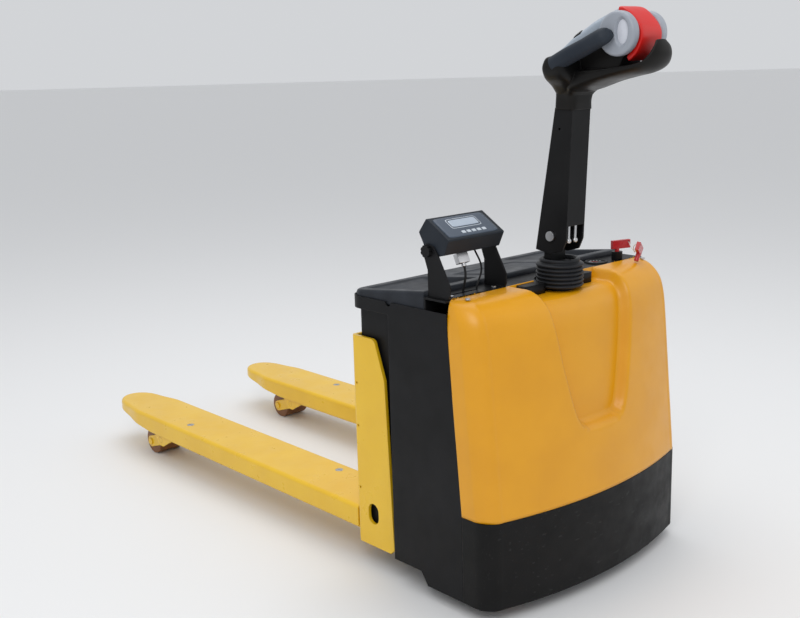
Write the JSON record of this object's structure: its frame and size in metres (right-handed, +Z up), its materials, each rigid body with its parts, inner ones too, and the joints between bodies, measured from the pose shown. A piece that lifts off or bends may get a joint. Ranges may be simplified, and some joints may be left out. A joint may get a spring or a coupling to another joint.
{
  "type": "electric pallet truck",
  "caption": "Walk-behind powered pallet truck: two lifting forks with load rollers, a covered drive and battery body, a swinging tiller and a weighing display.",
  "frame": {"origin": "on the floor, under the middle of the overall length and width", "axes": "+Y along the forks towards their tips, +Z up, +X to the right seen from the tiller"},
  "size_m": [0.674, 1.843, 1.257],
  "materials": {
    "yellow": "powder coat",
    "cover_yellow": "satin moulded plastic",
    "black_plastic": "fine grained",
    "black_steel": "textured paint",
    "grey_plastic": "fine grained",
    "red_plastic": "smooth",
    "rubber": "matte",
    "polyurethane": "cast polyurethane",
    "tread": "cast tread",
    "steel": "bare steel",
    "cast": "painted casting",
    "alloy": "machined",
    "battery_case": "moulded",
    "indicator_blue": "textured paint",
    "white_cord": "braided"
  },
  "bodies": {
    "chassis": {"main_frame": "black_steel", "body_shell": "black_steel", "bumper_skirt": "black_steel", "front_cover": "cover_yellow", "deck_panel": "black_steel", "panel_screws": "steel", "battery_left": "battery_case", "battery_right": "battery_case", "hydraulic_unit": "alloy", "motor_controller": "alloy", "lift_cylinder": "black_steel", "guide_rails": "steel", "steering_ring": "steel", "battery_gauge": "black_plastic", "disconnect_switch": "black_plastic", "indicator_bracket": "black_steel", "spare_key": "red_plastic", "key_string": "white_cord", "signal_cable": "rubber", "power_lead": "rubber"},
    "battery_lid": {"battery_lid": "black_plastic"},
    "carriage": {"fork_carriage": "yellow", "fork_shell_left": "yellow", "fork_shell_right": "yellow", "load_cells": "alloy", "fork_screws": "steel", "lift_ram": "steel", "guide_shoes": "black_plastic"},
    "rocker": {"lift_rocker": "yellow"},
    "pushrod_left": {"pushrod_left": "steel"},
    "pushrod_right": {"pushrod_right": "steel"},
    "roller_frame_left": {"roller_frame_left": "yellow"},
    "roller_frame_right": {"roller_frame_right": "yellow"},
    "load_roller_left": {"load_roller_left": "polyurethane"},
    "load_roller_right": {"load_roller_right": "polyurethane"},
    "steering": {"drive_unit": "cast", "drive_motor": "cast", "steering_column": "black_steel", "bellows": "rubber"},
    "drive_wheel": {"drive_hub": "cast", "drive_tyre": "tread"},
    "tiller": {"tiller_arm": "black_steel", "control_rods": "steel", "head_housing": "black_plastic", "head_cover": "grey_plastic", "hand_grips": "rubber"},
    "throttle": {"thumb_wheels": "black_plastic"},
    "belly_button": {"belly_button": "red_plastic"},
    "lift_button": {"lift_button": "black_plastic"},
    "lower_button": {"lower_button": "black_plastic"},
    "disconnect_key": {"disconnect_key": "red_plastic"},
    "indicator": {"indicator_case": "indicator_blue", "indicator_keypad": "indicator_blue", "signal_connector": "steel"},
    "knob_left": {"indicator_knob_left": "black_plastic"},
    "knob_right": {"indicator_knob_right": "black_plastic"},
    "caster_fork_left": {"caster_fork_left": "steel"},
    "caster_fork_right": {"caster_fork_right": "steel"},
    "caster_wheel_left": {"caster_wheel_left": "polyurethane"},
    "caster_wheel_right": {"caster_wheel_right": "polyurethane"}
  },
  "joints": [
    {"name": "lid_lift", "type": "slide", "parent": "chassis", "child": "battery_lid", "axis": [0, 0, 1], "range_m": [0, 0.055]},
    {"name": "fork_lift", "type": "slide", "parent": "chassis", "child": "carriage", "axis": [0, 0, 1], "range_m": [-0.048, 0.062]},
    {"name": "rocker_turn", "type": "hinge", "parent": "carriage", "child": "rocker", "pos_m": [0, -0.2815, 0.115], "axis": [1, 0, 0], "range_deg": [-27.6, 35.6]},
    {"name": "pushrod_slide_left", "type": "slide", "parent": "carriage", "child": "pushrod_left", "axis": [0, 1, 0], "range_m": [-0.0107, 0.0138]},
    {"name": "pushrod_slide_right", "type": "slide", "parent": "carriage", "child": "pushrod_right", "axis": [0, 1, 0], "range_m": [-0.0107, 0.0138]},
    {"name": "roller_tilt_left", "type": "hinge", "parent": "carriage", "child": "roller_frame_left", "pos_m": [-0.2405, 0.6165, 0.072], "axis": [1, 0, 0], "range_deg": [-35.6, 27.6]},
    {"name": "roller_tilt_right", "type": "hinge", "parent": "carriage", "child": "roller_frame_right", "pos_m": [0.2405, 0.6165, 0.072], "axis": [1, 0, 0], "range_deg": [-35.6, 27.6]},
    {"name": "roller_spin_left", "type": "hinge", "parent": "roller_frame_left", "child": "load_roller_left", "pos_m": [-0.2405, 0.7126, 0.04], "axis": [1, 0, 0], "continuous": true},
    {"name": "roller_spin_right", "type": "hinge", "parent": "roller_frame_right", "child": "load_roller_right", "pos_m": [0.2405, 0.7126, 0.04], "axis": [1, 0, 0], "continuous": true},
    {"name": "steer", "type": "hinge", "parent": "chassis", "child": "steering", "pos_m": [0, -0.6565, 0.3], "axis": [0, 0, 1], "range_deg": [-60, 90]},
    {"name": "drive_wheel_spin", "type": "hinge", "parent": "steering", "child": "drive_wheel", "pos_m": [0, -0.6565, 0.115], "axis": [1, 0, 0], "continuous": true},
    {"name": "tiller_tilt", "type": "hinge", "parent": "steering", "child": "tiller", "pos_m": [0, -0.6565, 0.781], "axis": [1, 0, 0], "range_deg": [0, 70], "stiffness_Nm_per_rad": 25, "springref_deg": -45.84},
    {"name": "throttle_turn", "type": "hinge", "parent": "tiller", "child": "throttle", "pos_m": [0, -0.8405, 1.203], "axis": [1, 0, 0], "range_deg": [-30, 30], "stiffness_Nm_per_rad": 1},
    {"name": "belly_press", "type": "slide", "parent": "tiller", "child": "belly_button", "axis": [0, 1, 0], "range_m": [0, 0.005], "stiffness_N_per_m": 600, "springref_m": -0.005},
    {"name": "lift_press", "type": "slide", "parent": "tiller", "child": "lift_button", "axis": [0, -0.5447, -0.8386], "range_m": [0, 0.002], "stiffness_N_per_m": 200, "springref_m": -0.002},
    {"name": "lower_press", "type": "slide", "parent": "tiller", "child": "lower_button", "axis": [0, -0.5447, -0.8386], "range_m": [0, 0.002], "stiffness_N_per_m": 200, "springref_m": -0.002},
    {"name": "key_turn", "type": "hinge", "parent": "chassis", "child": "disconnect_key", "pos_m": [0.262, -0.6155, 0.7], "axis": [0, 0, 1], "range_deg": [0, 90], "deforming": ["key_string"]},
    {"name": "indicator_tilt", "type": "hinge", "parent": "chassis", "child": "indicator", "pos_m": [-0.239, -0.5775, 0.78], "axis": [1, 0, 0], "range_deg": [-20, 25], "deforming": ["signal_cable", "power_lead"]},
    {"name": "knob_left_turn", "type": "hinge", "parent": "chassis", "child": "knob_left", "pos_m": [-0.333, -0.5775, 0.78], "axis": [1, 0, 0], "continuous": true},
    {"name": "knob_right_turn", "type": "hinge", "parent": "chassis", "child": "knob_right", "pos_m": [-0.145, -0.5775, 0.78], "axis": [1, 0, 0], "continuous": true},
    {"name": "caster_swivel_left", "type": "hinge", "parent": "chassis", "child": "caster_fork_left", "pos_m": [-0.235, -0.6565, 0.1], "axis": [0, 0, 1], "continuous": true},
    {"name": "caster_swivel_right", "type": "hinge", "parent": "chassis", "child": "caster_fork_right", "pos_m": [0.235, -0.6565, 0.1], "axis": [0, 0, 1], "continuous": true},
    {"name": "caster_spin_left", "type": "hinge", "parent": "caster_fork_left", "child": "caster_wheel_left", "pos_m": [-0.235, -0.6845, 0.05], "axis": [1, 0, 0], "continuous": true},
    {"name": "caster_spin_right", "type": "hinge", "parent": "caster_fork_right", "child": "caster_wheel_right", "pos_m": [0.235, -0.6845, 0.05], "axis": [1, 0, 0], "continuous": true}
  ],
  "couplings": [
    {"joint": "rocker_turn", "follows": "fork_lift", "rad_per_m": 10},
    {"joint": "pushrod_slide_left", "follows": "fork_lift", "ratio": 0.22},
    {"joint": "pushrod_slide_right", "follows": "fork_lift", "ratio": 0.22},
    {"joint": "roller_tilt_left", "follows": "fork_lift", "rad_per_m": -10},
    {"joint": "roller_tilt_right", "follows": "fork_lift", "rad_per_m": -10}
  ]
}
